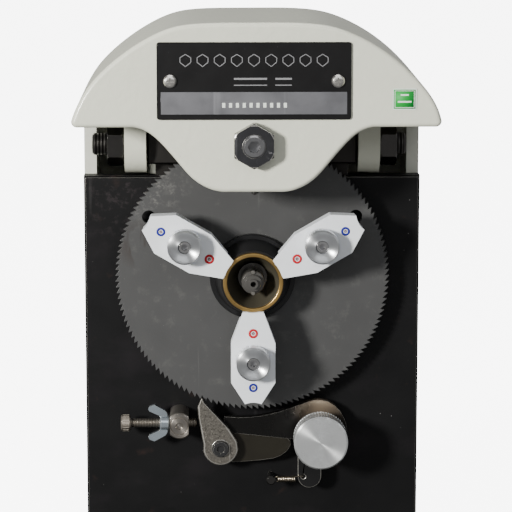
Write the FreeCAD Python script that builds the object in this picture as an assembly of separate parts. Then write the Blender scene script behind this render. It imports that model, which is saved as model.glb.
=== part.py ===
import FreeCAD, Part
import math
import os

# Faceting machine: a black plate with an index wheel and three work clamps hangs from two
# cone-pointed pivot screws inside a painted cast hood. Millimetres. X right, Y to the back,
# Z up. The shapes are drawn about the spindle axis and moved to the bench frame on saving.

V = FreeCAD.Vector
X, Y, Z = V(1, 0, 0), V(0, 1, 0), V(0, 0, 1)

# Placement in the bench frame
SPINDLE_HEIGHT = 142.0
FRAME_SHIFT_Y = 5.25

# Hood casting
HOOD_HALF_WIDTH = 80.0
HOOD_BOTTOM = 70.9
HOOD_FRONT = -49.5
HOOD_FRONT_WALL = 7.5
HOOD_BACK = 42.0
HOOD_BACK_WALL = 6.0
HOOD_WALL = 4.8
HOOD_EDGE_RADIUS = 2.0
HOOD_CORNER = 2.5
CROWN = [(80.0, 73.4), (78.6, 78.0), (75.4, 84.0), (70.6, 90.0), (64.5, 96.2), (56.0, 103.0),
         (45.0, 109.4), (33.5, 113.6), (22.5, 115.1), (0.0, 115.4)]
CROWN_LEFT = [(-22.5, 115.1), (-33.4, 113.7), (-44.4, 109.3), (-55.2, 102.5), (-64.0, 95.2), (-69.9, 88.7),
              (-73.8, 82.5), (-76.3, 77.4), (-77.7, 73.4)]
TONGUE = [(51.5, 70.9), (44.5, 68.4), (38.5, 63.0), (32.0, 55.4), (26.0, 48.8), (19.0, 44.5),
          (11.5, 43.1)]

# Pivot
PIVOT_Y = 3.0
PIVOT_Z = 57.5
PIVOT_SCREW_R = 4.9
PIVOT_CONE_R = 4.0
PIVOT_SCREW_END = {-1: 71.0, 1: 68.5}
LUG_INNER = 46.9
LUG_OUTER = 56.5
LUG_R = 12.8
LUG_TOP_INNER = 106.0
LUG_TOP_OUTER = 100.3
LOCK_NUT_AF = 17.0
LOCK_NUT_END = 64.3

# Front plate and what hangs on it
PLATE_HALF_WIDTH = 75.0
PLATE_THICKNESS = 8.0
PLATE_TOP = 43.5
PLATE_BOTTOM = -125.0
PLATE_CHAMFER = 0.8
SPINDLE_R = 7.45
RUNNING_GAP = 0.05
BEARING_OUTER_R = 17.5
HOUSING_FLANGE_R = 32.0
HOUSING_BARREL_R = 22.0

# Index wheel
WHEEL_TEETH = 144
WHEEL_TIP_R = 61.0
WHEEL_ROOT_R = 59.1
WHEEL_FRONT = -10.0
WHEEL_BACK = -7.0
LIGHTENING_HOLE_R = 2.9
LIGHTENING_HOLE_AT = 53.0
WHEEL_SCREW_AT = 14.0

# Work clamps
CLAMP_ANGLES = (30.0, 150.0, 270.0)
CLAMP_STUD_AT = 34.5
CLAMP_STUD_R = 2.85
CLAMP_FRONT = -31.0
CLAMP_LIP_BACK = -28.8
CLAMP_BACK = -23.5
CLAMP_BACK_R = 19.3
THUMB_NUT_R = 7.5
THUMB_NUT_FRONT = -38.6

# Index pawl and its release lever
PAWL_PIVOT = (-14.3, -78.6)
PAWL_TOOTH = 99
KNOB_AXIS = (30.2, -73.0)
KNOB_R = 12.0
POST_AT = (-32.8, -67.0)
ADJUST_Y = -10.0
ADJUST_R = 2.0
SPRING_ANCHOR = (8.3, -93.6)
TAIL_HOLE = (23.0, -92.5)
SPRING_Y = -9.9

# Stop screw, name plate, label and small fastenings (X, Z or X, Y places)
STOP_Z = 63.5
STOP_SCREW_R = 4.9
PLATE_SCREW_X = 35.6
PLATE_SCREW_Z = 90.8
TONGUE_PIN_X = 0.4
TONGUE_PIN_Y = -45.7
TONGUE_PIN_R = 1.6
NAME_PLATE = (-41.2, 41.2, 74.4, 107.3)
NAME_PLATE_THICKNESS = 0.9
STRIP = (-39.5, 39.5, 76.7, 86.2)
LABEL = (58.8, 69.0, 78.4, 87.5)
PAD_R = 2.2
REST_PADS = [(s * 72.2, z) for s in (-1, 1) for z in (-110.0, 20.0)]
BASE_BOLTS = [(s * 72.3, y) for s in (-1, 1) for y in (17.0, 35.0)]
BASE_FEET = [(s * 56.0, y) for s in (-1, 1) for y in (-35.0, 33.0)]
BLOCK_SCREWS = [(x, 39.5) for x in (-36.0, -12.5, 12.5, 36.0)]
COLLET_BORE_R = 1.2

# Housing and base
HOUSING_WALL = 5.5
HOUSING_FRONT = 8.6
HOUSING_BOTTOM = -128.0
BASE_TOP = -128.0
BASE_THICKNESS = 8.0
FOOT_HEIGHT = 6.0
COVER_SCREWS = [(s * 65.0, z) for s in (-1, 1) for z in (-115.0, -30.0, 55.0)]
HOOD_SCREWS = [(-52.0, 78.0), (-18.0, 78.0), (18.0, 78.0), (52.0, 78.0)]


def box(x0, x1, y0, y1, z0, z1):
    return Part.makeBox(x1 - x0, y1 - y0, z1 - z0, V(x0, y0, z0))


def rod_y(at, r, y0, y1):
    return Part.makeCylinder(r, y1 - y0, V(at[0], y0, at[1]), Y)


def rod_x(y, z, r, x0, x1):
    return Part.makeCylinder(r, x1 - x0, V(x0, y, z), X)


def rod_z(x, y, r, z0, z1):
    return Part.makeCylinder(r, z1 - z0, V(x, y, z0), Z)


def cone_y(at, r_front, r_back, y0, y1):
    return Part.makeCone(r_front, r_back, y1 - y0, V(at[0], y0, at[1]), Y)


def join(shapes):
    shapes = list(shapes)
    body = shapes[0].multiFuse(shapes[1:]) if len(shapes) > 1 else shapes[0]
    return body.removeSplitter()


def group(shapes):
    return Part.makeCompound(list(shapes))


def plate_from(points, y0, y1):
    corners = [V(x, y0, z) for x, z in points]
    return Part.Face(Part.makePolygon(corners + corners[:1])).extrude(V(0, y1 - y0, 0))


def hexagon(at, across_flats, y0, y1, point_up=True):
    r = across_flats / math.sqrt(3)
    first = 90.0 if point_up else 60.0
    turns = [math.radians(first + 60.0 * i) for i in range(6)]
    return plate_from([(at[0] + r * math.cos(t), at[1] + r * math.sin(t)) for t in turns], y0, y1)


def lathe_y(profile, at=(0.0, 0.0)):
    """Solid of revolution about a line along Y; the profile is (radius, y) pairs."""
    corners = [V(at[0] + r, y, at[1]) for r, y in profile]
    face = Part.Face(Part.makePolygon(corners + corners[:1]))
    return face.revolve(V(at[0], 0, at[1]), Y, 360)


def polar(radius, degrees):
    turn = math.radians(degrees)
    return radius * math.cos(turn), radius * math.sin(turn)


def along_x(shape, side=1):
    """Turn a shape drawn along Y about the origin so that it runs along X (side +1 or -1)."""
    turned = shape.copy()
    turned.rotate(V(0, 0, 0), Z, -90.0 * side)
    return turned


def edges_at_y(shape, y):
    return [e for e in shape.Edges if abs(e.BoundBox.YMin - y) < 1e-4 and abs(e.BoundBox.YMax - y) < 1e-4]


def save(name, shape):
    placed = shape.copy()
    placed.translate(V(0, FRAME_SHIFT_Y, SPINDLE_HEIGHT))
    placed.exportStep("parts/%s.step" % name)


def spline(points, y):
    curve = Part.BSplineCurve()
    curve.interpolate([V(x, y, z) for x, z in points])
    return curve.toShape()


# ---- Hood -------------------------------------------------------------------------------

def crown_edges(y, lower_edges):
    w, v, b, c = HOOD_HALF_WIDTH, CROWN_LEFT[-1][0], HOOD_BOTTOM, HOOD_CORNER
    k = c * (1.0 - math.sqrt(0.5))
    edges = [spline(CROWN + CROWN_LEFT, y)]
    edges.append(Part.Arc(V(v, y, b + c), V(v + k, y, b + k), V(v + c, y, b)).toShape())
    edges += lower_edges
    edges.append(Part.Arc(V(w - c, y, b), V(w - k, y, b + k), V(w, y, b + c)).toShape())
    return Part.Face(Part.Wire(Part.__sortEdges__(edges)))


def dome_face(y):
    x, u = HOOD_HALF_WIDTH - HOOD_CORNER, CROWN_LEFT[-1][0] + HOOD_CORNER
    line = Part.makeLine(V(u, y, HOOD_BOTTOM), V(x, y, HOOD_BOTTOM))
    return crown_edges(y, [line])


def tongue_face(y):
    x, u = HOOD_HALF_WIDTH - HOOD_CORNER, CROWN_LEFT[-1][0] + HOOD_CORNER
    left = [(-px, pz) for px, pz in TONGUE]
    right = list(reversed(TONGUE))
    lower = [
        Part.makeLine(V(u, y, HOOD_BOTTOM), V(left[0][0], y, left[0][1])),
        spline(left, y),
        Part.makeLine(V(left[-1][0], y, left[-1][1]), V(right[0][0], y, right[0][1])),
        spline(right, y),
        Part.makeLine(V(right[-1][0], y, right[-1][1]), V(x, y, HOOD_BOTTOM)),
    ]
    return crown_edges(y, lower)


def cavity_face(y):
    """Inside of the dome: its crown drawn in by the wall thickness, open downwards."""
    low = HOOD_BOTTOM - 1.0
    across = (HOOD_HALF_WIDTH - HOOD_WALL) / HOOD_HALF_WIDTH
    rise = 1.0 - HOOD_WALL / (CROWN[-1][1] - HOOD_BOTTOM)
    crown = [(x * across, HOOD_BOTTOM + (z - HOOD_BOTTOM) * rise) for x, z in CROWN + CROWN_LEFT]
    w, top = crown[0]
    v = crown[-1][0]
    edges = [
        spline(crown, y),
        Part.makeLine(V(v, y, top), V(v, y, low)),
        Part.makeLine(V(v, y, low), V(w, y, low)),
        Part.makeLine(V(w, y, low), V(w, y, top)),
    ]
    return Part.Face(Part.Wire(Part.__sortEdges__(edges)))


def make_hood():
    inner_front = HOOD_FRONT + HOOD_FRONT_WALL
    front = tongue_face(HOOD_FRONT).extrude(V(0, HOOD_FRONT_WALL, 0))
    front = front.makeFillet(HOOD_EDGE_RADIUS, edges_at_y(front, HOOD_FRONT))
    dome = dome_face(inner_front).extrude(V(0, HOOD_BACK - inner_front, 0))
    depth = HOOD_BACK - HOOD_BACK_WALL - inner_front
    shell = dome.cut(cavity_face(inner_front).extrude(V(0, depth, 0)))
    shell = shell.makeFillet(HOOD_EDGE_RADIUS, edges_at_y(shell, HOOD_BACK))
    lugs = []
    for side in (-1, 1):
        x0, x1 = side * LUG_INNER, side * LUG_OUTER
        outline = [(x0, PIVOT_Z), (x1, PIVOT_Z), (x1, LUG_TOP_OUTER), (x0, LUG_TOP_INNER)]
        lugs.append(join([plate_from(outline, PIVOT_Y - LUG_R, PIVOT_Y + LUG_R),
                          rod_x(PIVOT_Y, PIVOT_Z, LUG_R, min(x0, x1), max(x0, x1))]))
    body = join([shell, front] + lugs)
    holes = [rod_x(PIVOT_Y, PIVOT_Z, PIVOT_SCREW_R, -60, -40), rod_x(PIVOT_Y, PIVOT_Z, PIVOT_SCREW_R, 40, 60)]
    holes.append(rod_y((0, STOP_Z), STOP_SCREW_R + RUNNING_GAP, HOOD_FRONT - 1, inner_front + 1))
    holes += [rod_y((s * PLATE_SCREW_X, PLATE_SCREW_Z), 1.5, HOOD_FRONT - 1, HOOD_FRONT + 5) for s in (-1, 1)]
    holes.append(rod_z(TONGUE_PIN_X, TONGUE_PIN_Y, TONGUE_PIN_R, 42.0, 47.0))
    holes += [rod_y(at, 2.5, HOOD_BACK - HOOD_BACK_WALL - 1, HOOD_BACK + 1) for at in HOOD_SCREWS]
    return body.cut(Part.makeCompound(holes))


def make_name_plate():
    x0, x1, z0, z1 = NAME_PLATE
    back = HOOD_FRONT
    plate = box(x0, x1, back - NAME_PLATE_THICKNESS, back, z0, z1)
    upright = [e for e in plate.Edges if e.BoundBox.YLength > NAME_PLATE_THICKNESS / 2]
    plate = plate.makeFillet(1.2, upright)
    for side in (-1, 1):
        plate = plate.cut(rod_y((side * PLATE_SCREW_X, PLATE_SCREW_Z), 1.5, back - 3, back + 1))
    return plate


def make_dome_screw(at, seat, head_r, head_h, shank_r, shank_to):
    """Crosshead pan screw whose underside lies at y = seat, shank running back to shank_to."""
    head = lathe_y([(0, seat), (head_r, seat), (head_r, seat - head_h * 0.45),
                    (head_r * 0.8, seat - head_h * 0.85),
                    (head_r * 0.45, seat - head_h), (0, seat - head_h)], at)
    arm, half = head_r * 0.58, 0.33
    front, deep = seat - head_h - 1, seat - head_h * 0.4
    cross = [box(at[0] - arm, at[0] + arm, front, deep, at[1] - half, at[1] + half),
             box(at[0] - half, at[0] + half, front, deep, at[1] - arm, at[1] + arm)]
    return join([head.cut(Part.makeCompound(cross)), rod_y(at, shank_r, seat, shank_to)])


def make_cap_screw(at, seat, head_r, head_h, shank_r, shank_to, direction=1):
    """Socket head screw; direction +1 has its head in front (towards -Y), -1 behind."""
    top = seat - direction * head_h
    lip = top + direction * 0.4
    head = lathe_y([(0, seat), (head_r, seat), (head_r, lip), (head_r - 0.4, top), (0, top)], at)
    y0, y1 = sorted((top - direction, top + direction * head_h * 0.55))
    socket = hexagon(at, head_r * 0.95, y0, y1)
    y0, y1 = sorted((seat, shank_to))
    return join([head.cut(socket), rod_y(at, shank_r, y0, y1)])


def make_hex_nut(across_flats, bore_r, y0, y1):
    """Hexagon nut about the Y axis through the origin, both faces chamfered."""
    r = across_flats / math.sqrt(3)
    blank = hexagon((0, 0), across_flats, y0, y1)
    trim = lathe_y([(0, y0), (r - 0.9, y0), (r + 0.2, y0 + 0.6), (r + 0.2, y1 - 0.6), (r - 0.9, y1), (0, y1)])
    return blank.common(trim).cut(rod_y((0, 0), bore_r, y0 - 1, y1 + 1))


def make_pivot_screw(side):
    end = PIVOT_SCREW_END[side]
    profile = [(0, 41.0), (0.6, 41.0), (PIVOT_CONE_R, LUG_INNER), (PIVOT_SCREW_R, LUG_INNER),
               (PIVOT_SCREW_R, end - 0.8), (PIVOT_SCREW_R - 0.8, end), (0, end)]
    screw = lathe_y(profile).cut(hexagon((0, 0), 4.6, end - 4.5, end + 1))
    screw = along_x(screw, side)
    screw.translate(V(0, PIVOT_Y, PIVOT_Z))
    return screw


def make_lock_nut(side):
    nut = make_hex_nut(LOCK_NUT_AF, PIVOT_SCREW_R, LUG_OUTER + 0.7, LOCK_NUT_END)
    washer = rod_y((0, 0), 8.9, LUG_OUTER, LUG_OUTER + 0.7).cut(rod_y((0, 0), PIVOT_SCREW_R, 50, 60))
    nut = along_x(join([nut, washer]), side)
    nut.translate(V(0, PIVOT_Y, PIVOT_Z))
    return nut


def make_stop_screw():
    front, back = HOOD_FRONT - 7.4, HOOD_FRONT + HOOD_FRONT_WALL + 0.1
    r = STOP_SCREW_R
    at = (0, STOP_Z)
    body = lathe_y([(0, front), (r - 0.7, front), (r, front + 0.7), (r, back - 0.5),
                    (r - 0.5, back), (0, back)], at)
    return body.cut(hexagon(at, 4.9, front - 1, front + 5, False))


# ---- Rear housing and base ----------------------------------------------------------------

def make_rear_housing():
    w = PLATE_HALF_WIDTH
    inner = w - HOUSING_WALL
    sides = ((-w, -inner), (inner, w))
    parts = [box(s0, s1, HOUSING_FRONT, HOOD_BACK, HOUSING_BOTTOM, HOOD_BOTTOM - 0.3) for s0, s1 in sides]
    parts.append(box(-w, w, HOUSING_FRONT, HOOD_BACK, HOUSING_BOTTOM, HOUSING_BOTTOM + 6))
    parts.append(box(-inner, inner, 24.0, HOOD_BACK - HOOD_BACK_WALL, 58.0, 70.9))
    parts.append(box(-64.0, 64.0, 24.0, HOOD_BACK - HOOD_BACK_WALL, 70.9, 84.0))
    parts += [rod_y((x, z), 5.0, 26.0, HOOD_BACK) for x, z in COVER_SCREWS]
    body = join(parts)
    holes = [rod_y(at, 2.0, 30.0, HOOD_BACK + 1) for at in COVER_SCREWS]
    holes += [rod_y(at, 2.5, 26.0, HOOD_BACK) for at in HOOD_SCREWS]
    holes += [rod_y((x, z), PAD_R, HOUSING_FRONT - 1, HOUSING_FRONT + 4) for x, z in REST_PADS]
    holes += [rod_z(x, y, 2.5, HOUSING_BOTTOM - 1, HOUSING_BOTTOM + 12) for x, y in BASE_BOLTS]
    return body.cut(Part.makeCompound(holes))


def make_rear_cover():
    cover = box(-72.0, 72.0, HOOD_BACK, HOOD_BACK + 2, -124.0, 70.4)
    upright = [e for e in cover.Edges if e.BoundBox.YLength > 1.9]
    cover = cover.makeFillet(3.0, upright)
    holes = [rod_y(at, 2.0, HOOD_BACK - 1, HOOD_BACK + 3) for at in COVER_SCREWS]
    for row in range(7):
        z = -95.0 + 8.0 * row
        slot = join([box(-28.0, 28.0, HOOD_BACK - 1, HOOD_BACK + 3, z - 1.5, z + 1.5),
                     rod_y((-28.0, z), 1.5, HOOD_BACK - 1, HOOD_BACK + 3),
                     rod_y((28.0, z), 1.5, HOOD_BACK - 1, HOOD_BACK + 3)])
        holes.append(slot)
    return cover.cut(Part.makeCompound(holes))


def make_base_plate():
    plate = box(-80.0, 80.0, -46.0, 44.0, BASE_TOP - BASE_THICKNESS, BASE_TOP)
    upright = [e for e in plate.Edges if e.BoundBox.ZLength > BASE_THICKNESS - 0.1]
    plate = plate.makeFillet(6.0, upright)
    rim = [e for e in plate.Edges if abs(e.BoundBox.ZMin - BASE_TOP) < 1e-4]
    plate = plate.makeChamfer(1.0, rim)
    low = BASE_TOP - BASE_THICKNESS
    holes = [rod_z(x, y, 2.5, low - 1, BASE_TOP + 1) for x, y in BASE_BOLTS]
    holes += [rod_z(x, y, 4.5, low - 1, low + 5) for x, y in BASE_BOLTS]
    holes += [rod_z(x, y, 2.0, low - 1, low + 6) for x, y in BASE_FEET]
    return plate.cut(Part.makeCompound(holes))


def make_base_bolt(x, y):
    low = BASE_TOP - BASE_THICKNESS
    head = rod_z(x, y, 4.3, low + 0.4, low + 5).cut(rod_z(x, y, 2.0, low - 1, low + 3))
    return join([head, rod_z(x, y, 2.5, low + 5, HOUSING_BOTTOM + 12)])


def make_foot(x, y):
    top = BASE_TOP - BASE_THICKNESS
    body = Part.makeCone(7.6, 9.0, FOOT_HEIGHT, V(x, y, top - FOOT_HEIGHT), Z)
    return join([body, rod_z(x, y, 2.0, top, top + 6)])


# ---- Swing plate --------------------------------------------------------------------------

HOUSING_SCREWS = [polar(27.0, a) for a in (45.0, 135.0, 225.0, 315.0)]


def make_front_plate():
    plate = box(-PLATE_HALF_WIDTH, PLATE_HALF_WIDTH, 0, PLATE_THICKNESS, PLATE_BOTTOM, PLATE_TOP)
    plate = plate.makeChamfer(PLATE_CHAMFER, edges_at_y(plate, 0))
    holes = [rod_y((0, 0), 9.0, -1, PLATE_THICKNESS + 1)]
    holes += [rod_y(at, 2.5, 2.0, PLATE_THICKNESS + 1) for at in BLOCK_SCREWS + HOUSING_SCREWS]
    holes.append(rod_y(POST_AT, 3.0, -1, PLATE_THICKNESS + 1))
    holes.append(rod_y(KNOB_AXIS, 4.0, -1, PLATE_THICKNESS + 1))
    holes.append(rod_y(SPRING_ANCHOR, 1.2, -1, PLATE_THICKNESS + 1))
    return plate.cut(Part.makeCompound(holes))


def make_hinge_block():
    bar = box(-46.5, 46.5, -4.0, 10.0, 49.3, 66.0)
    lower = [e for e in bar.Edges if e.BoundBox.YMax < -3.9 and e.BoundBox.YLength < 1e-3]
    bar = bar.makeChamfer(0.7, lower)
    neck = box(-43.0, 43.0, 1.5, 14.0, PLATE_TOP, 49.3)
    web = box(-43.0, 43.0, PLATE_THICKNESS, 14.0, 33.5, PLATE_TOP)
    body = join([bar, neck, web])
    gap = RUNNING_GAP + 0.03
    cuts = [rod_y(at, 2.5, 7.0, 15.0) for at in BLOCK_SCREWS]
    for side in (-1, 1):
        seat = lathe_y([(0, 40.4), (0.6 + gap, 40.4), (0.6 + gap, 41.0), (PIVOT_CONE_R + gap, LUG_INNER),
                        (PIVOT_CONE_R + gap, 48.0), (0, 48.0)])
        seat = along_x(seat, side)
        seat.translate(V(0, PIVOT_Y, PIVOT_Z))
        cuts.append(seat)
    return body.cut(Part.makeCompound(cuts))


def make_bearing_housing():
    body = lathe_y([(14.0, 8), (HOUSING_FLANGE_R, 8), (HOUSING_FLANGE_R, 12.2), (HOUSING_FLANGE_R - 0.8, 13),
                    (HOUSING_BARREL_R + 1.5, 13), (HOUSING_BARREL_R, 14.5), (HOUSING_BARREL_R, 33.3),
                    (HOUSING_BARREL_R - 0.7, 34), (BEARING_OUTER_R, 34), (BEARING_OUTER_R, 10), (14.0, 10)])
    return body.cut(Part.makeCompound([rod_y(at, 2.5, 7, 14) for at in HOUSING_SCREWS]))


def make_bearing(y0, y1):
    inner, outer = SPINDLE_R + RUNNING_GAP, BEARING_OUTER_R
    return lathe_y([(inner, y0), (10.2, y0), (10.2, y0 + 0.8), (14.4, y0 + 0.8), (14.4, y0), (outer, y0),
                    (outer, y1), (14.4, y1), (14.4, y1 - 0.8), (10.2, y1 - 0.8), (10.2, y1), (inner, y1)])


def make_adjuster_post():
    head = lathe_y([(0, 0), (5.95, 0), (5.95, -16.9), (5.35, -17.5), (4.2, -17.5), (3.9, -17.2), (3.6, -17.5),
                    (1.6, -17.5), (1.2, -16.8), (0, -16.8)], POST_AT)
    head = head.common(box(POST_AT[0] - 4.15, POST_AT[0] + 4.15, -20, 1, -80, -50))
    body = join([head, rod_y(POST_AT, 3.0, 0, PLATE_THICKNESS)])
    return body.cut(rod_x(ADJUST_Y, POST_AT[1], ADJUST_R + RUNNING_GAP, -45, -20))


def make_arm_pivot_stud():
    return lathe_y([(0, 8), (4.0, 8), (4.0, 0), (7.0, 0), (7.0, -2.9), (4.0, -2.9), (4.0, -21.5),
                    (3.4, -22.1),
                    (0, -22.1)], KNOB_AXIS)


def make_spring_anchor():
    groove = SPRING_Y - 0.5
    return lathe_y([(0, 8), (1.2, 8), (1.2, groove + 1.4), (0.75, groove + 1.1), (0.8, groove),
                    (2.1, groove - 0.3),
                    (2.1, groove - 1.0), (1.7, groove - 1.4), (0, groove - 1.4)], SPRING_ANCHOR)


# ---- Index wheel and spindle ----------------------------------------------------------------

def wheel_outline():
    pitch = 360.0 / WHEEL_TEETH
    points = []
    for k in range(WHEEL_TEETH):
        points.append(polar(WHEEL_TIP_R, k * pitch))
        points.append(polar(WHEEL_ROOT_R, k * pitch))
    return points


def make_index_wheel():
    wheel = plate_from(wheel_outline(), WHEEL_FRONT, WHEEL_BACK)
    holes = [rod_y((0, 0), SPINDLE_R, -12, 0)]
    holes += [rod_y(polar(LIGHTENING_HOLE_AT, a), LIGHTENING_HOLE_R, -12, 0) for a in CLAMP_ANGLES]
    holes += [rod_y(polar(CLAMP_STUD_AT, a), CLAMP_STUD_R, -12, 0) for a in CLAMP_ANGLES]
    holes += [rod_y(polar(WHEEL_SCREW_AT, a), 2.0, -12, 0) for a in CLAMP_ANGLES]
    return wheel.cut(Part.makeCompound(holes))


def make_spindle():
    body = lathe_y([(0, -10), (SPINDLE_R, -10), (SPINDLE_R, -7), (18.0, -7), (18.0, -3.4), (17.6, -3),
                    (SPINDLE_R, -3), (SPINDLE_R, 34), (6.9, 34), (6.9, 40.2), (6.1, 41), (0, 41)])
    return body.cut(Part.makeCompound([rod_y(polar(WHEEL_SCREW_AT, a), 2.0, -8, -2) for a in CLAMP_ANGLES]))


def make_wheel_screw(at):
    return make_cap_screw(at, -3.0, 3.2, 2.2, 2.0, -14.0, -1)


def make_hub():
    body = lathe_y([(12.0, -10), (19.0, -10), (19.0, -12.6), (18.6, -13), (17.0, -13), (14.0, -26.5),
                    (12.0, -26.5)])
    return body.cut(Part.makeCompound([rod_y(polar(WHEEL_SCREW_AT, a), 2.0, -14, -9) for a in CLAMP_ANGLES]))


def make_brass_ring():
    return lathe_y([(11.35, -26.5), (13.2, -26.5), (13.2, -28.2), (12.9, -28.5),
                    (11.65, -28.5), (11.35, -28.2)])


def make_dop_cup():
    return lathe_y([(6.5, -10), (12.0, -10), (12.0, -26.5), (11.3, -26.5), (6.5, -12)])


def make_collet_nose():
    body = lathe_y([(0, -10), (6.4, -10), (6.4, -14), (5.1, -14), (5.1, -27.1), (4.7, -27.5), (3.7, -27.5),
                    (3.7, -29.7), (3.4, -30), (2.1, -30), (2.1, -32), (0, -32)])
    cuts = [rod_y((0, s * 4.7), 0.8, -30, -14) for s in (-1, 1)]
    cuts.append(rod_y((0, 0), COLLET_BORE_R, -33, -22))
    return body.cut(Part.makeCompound(cuts))


def make_standoff(at):
    return lathe_y([(CLAMP_STUD_R, -10), (4.6, -10), (4.6, -22.8), (4.2, -23.2), (CLAMP_STUD_R, -23.2)], at)


def make_clamp_stud(at):
    r = CLAMP_STUD_R
    stud = lathe_y([(0, -7), (r, -7), (r, -36.7), (r - 0.5, -37.2), (0, -37.2)], at)
    return stud.cut(hexagon(at, 2.6, -38, -34.4))


# ---- Clamps -----------------------------------------------------------------------------------

def make_clamp_plate(angle):
    """Six-sided nylon clamp drawn with its stud at the origin and the spindle towards -X."""
    half = [(-21.9, 4.55), (-7.9, 9.72), (9.7, 9.72), (19.4, 3.55)]
    outline = half + [(x, -z) for x, z in reversed(half)]
    blank = plate_from(outline, CLAMP_FRONT, CLAMP_BACK)
    blank = blank.cut(rod_y((-CLAMP_STUD_AT, 0), 12.9, -40, -20))
    blank = blank.cut(rod_y((19.2 + 8.6, 0), 9.2, -40, -20))
    upright = [e for e in blank.Edges if e.BoundBox.YLength > 7.0 and abs(e.BoundBox.Center.z) > 9.0]
    blank = blank.makeFillet(1.2, upright)
    lip = blank.common(box(-30, 30, CLAMP_FRONT - 1, CLAMP_LIP_BACK, -15, 15))
    back = blank.common(rod_y((0, 0), CLAMP_BACK_R, CLAMP_LIP_BACK, CLAMP_BACK + 1))
    clamp = join([lip, back]).cut(rod_y((0, 0), CLAMP_STUD_R + RUNNING_GAP, -40, -20))
    clamp.rotate(V(0, 0, 0), Y, -angle)
    x, z = polar(CLAMP_STUD_AT, angle)
    clamp.translate(V(x, 0, z))
    return clamp


def make_thumb_nut(angle):
    f, r, b = THUMB_NUT_FRONT, THUMB_NUT_R, CLAMP_STUD_R + RUNNING_GAP
    back = CLAMP_FRONT - 0.25
    at = polar(CLAMP_STUD_AT, angle)
    nut = lathe_y([(b, back), (6.2, back), (r, back - 1.2), (r, f + 0.7), (r - 0.7, f), (r - 1.5, f),
                   (3.7, f + 0.8), (b, f + 0.8)], at)
    flutes = []
    for i in range(24):
        x, z = polar(r + 0.12, 15.0 * i)
        flutes.append(rod_y((at[0] + x, at[1] + z), 0.32, f + 1.6, back - 1.6))
    return nut.cut(Part.makeCompound(flutes))


# ---- Index pawl, lever and fine adjustment ----------------------------------------------------

def tooth_point(tangential, radial):
    """Point beside tooth number PAWL_TOOTH, measured along and square to the wheel's rim."""
    angle = PAWL_TOOTH * 360.0 / WHEEL_TEETH
    rx, rz = polar(radial, angle)
    tx, tz = polar(tangential, angle + 90.0)
    return rx + tx, rz + tz


def make_index_pawl():
    outline = [tooth_point(0.25, 59.75), tooth_point(0.2, 61.5), (-24.6, -59.8),
               (-24.3, -64.4), (-22.0, -77.0)]
    px, pz = PAWL_PIVOT
    for turn in range(190, 365, 15):
        x, z = polar(7.9, turn)
        outline.append((px + x, pz + z))
    outline += [(-7.0, -75.4), (-10.2, -70.3), tooth_point(1.85, 61.5)]
    pawl = plate_from(outline, -12.0, -8.0)
    rim = [e for e in edges_at_y(pawl, -12.0) if e.Length > 0.6 and e.BoundBox.ZMax < -58.0]
    pawl = pawl.makeChamfer(0.5, rim)
    return pawl.cut(rod_y(PAWL_PIVOT, 2.0 + RUNNING_GAP, -14, -6))


ARM_TOP = [(-12.8, -67.0), (-12.6, -64.9), (-9.0, -65.3), (-5.7, -65.4), (-1.0, -65.3), (4.0, -64.7),
           (8.5, -63.8), (12.9, -62.6), (17.5, -61.0), (22.2, -59.3), (25.2, -58.2),
           (27.6, -57.6), (29.8, -57.4)]
ARM_EYE = [(76, 15.3), (62, 14.6), (48, 13.9), (34, 13.3), (20, 12.8), (6, 12.5), (-10, 12.4), (-30, 12.4),
           (-50, 12.4), (-70, 12.4), (-90, 12.4), (-110, 12.4)]
CARRIER = [(-9.0, -72.5), (16.2, -75.2), (17.3, -76.3), (17.5, -77.8), (16.8, -79.8), (15.2, -81.7),
           (12.8, -83.4), (9.6, -84.6), (4.0, -85.4), (-5.0, -86.1), (-14.3, -86.4)]


def make_lever_arm():
    kx, kz = KNOB_AXIS
    px, pz = PAWL_PIVOT
    around = [(kx + polar(r, a)[0], kz + polar(r, a)[1]) for a, r in ARM_EYE]
    thick = plate_from(ARM_TOP + around + [(18.0, -75.4), (-9.0, -72.4)], -7.7, -3.2)
    sole = join([rod_y(PAWL_PIVOT, 7.4, -5.4, -3.2), plate_from(CARRIER[:-1] + [(px, pz - 7.0)], -5.4, -3.2)])
    boss = rod_y(KNOB_AXIS, 9.0, -13.7, -5.0)
    body = join([thick, sole, boss])
    cuts = [rod_y(KNOB_AXIS, 4.0 + RUNNING_GAP, -20, 0), rod_y(PAWL_PIVOT, 2.0, -8, 0)]
    return body.cut(Part.makeCompound(cuts))


def make_pawl_carrier():
    px, pz = PAWL_PIVOT
    tongue = plate_from(CARRIER + [(px, pz + 6.0)], -7.4, -5.4)
    rim = [e for e in edges_at_y(tongue, -7.4) if e.BoundBox.ZMax < -74.0 and e.Length < 12.0]
    tongue = tongue.makeChamfer(0.3, rim)
    body = join([tongue, rod_y(PAWL_PIVOT, 7.4, -7.4, -5.4)])
    kept = body.cut(plate_from(ARM_TOP + [(41.4, -70.0), (18.0, -75.4), (-9.0, -72.4)], -8.0, -5.0))
    return kept.cut(rod_y(PAWL_PIVOT, 2.0, -14, -5))


def make_lever_tail():
    tab = join([box(20.5, 31.0, -9.4, -7.7, -92.3, -76.0), rod_y((25.75, -92.3), 5.25, -9.4, -7.7)])
    holes = [rod_y(TAIL_HOLE, 1.1, -10, -7), rod_y(KNOB_AXIS, 9.0, -10, -7)]
    return tab.cut(Part.makeCompound(holes))


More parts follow.
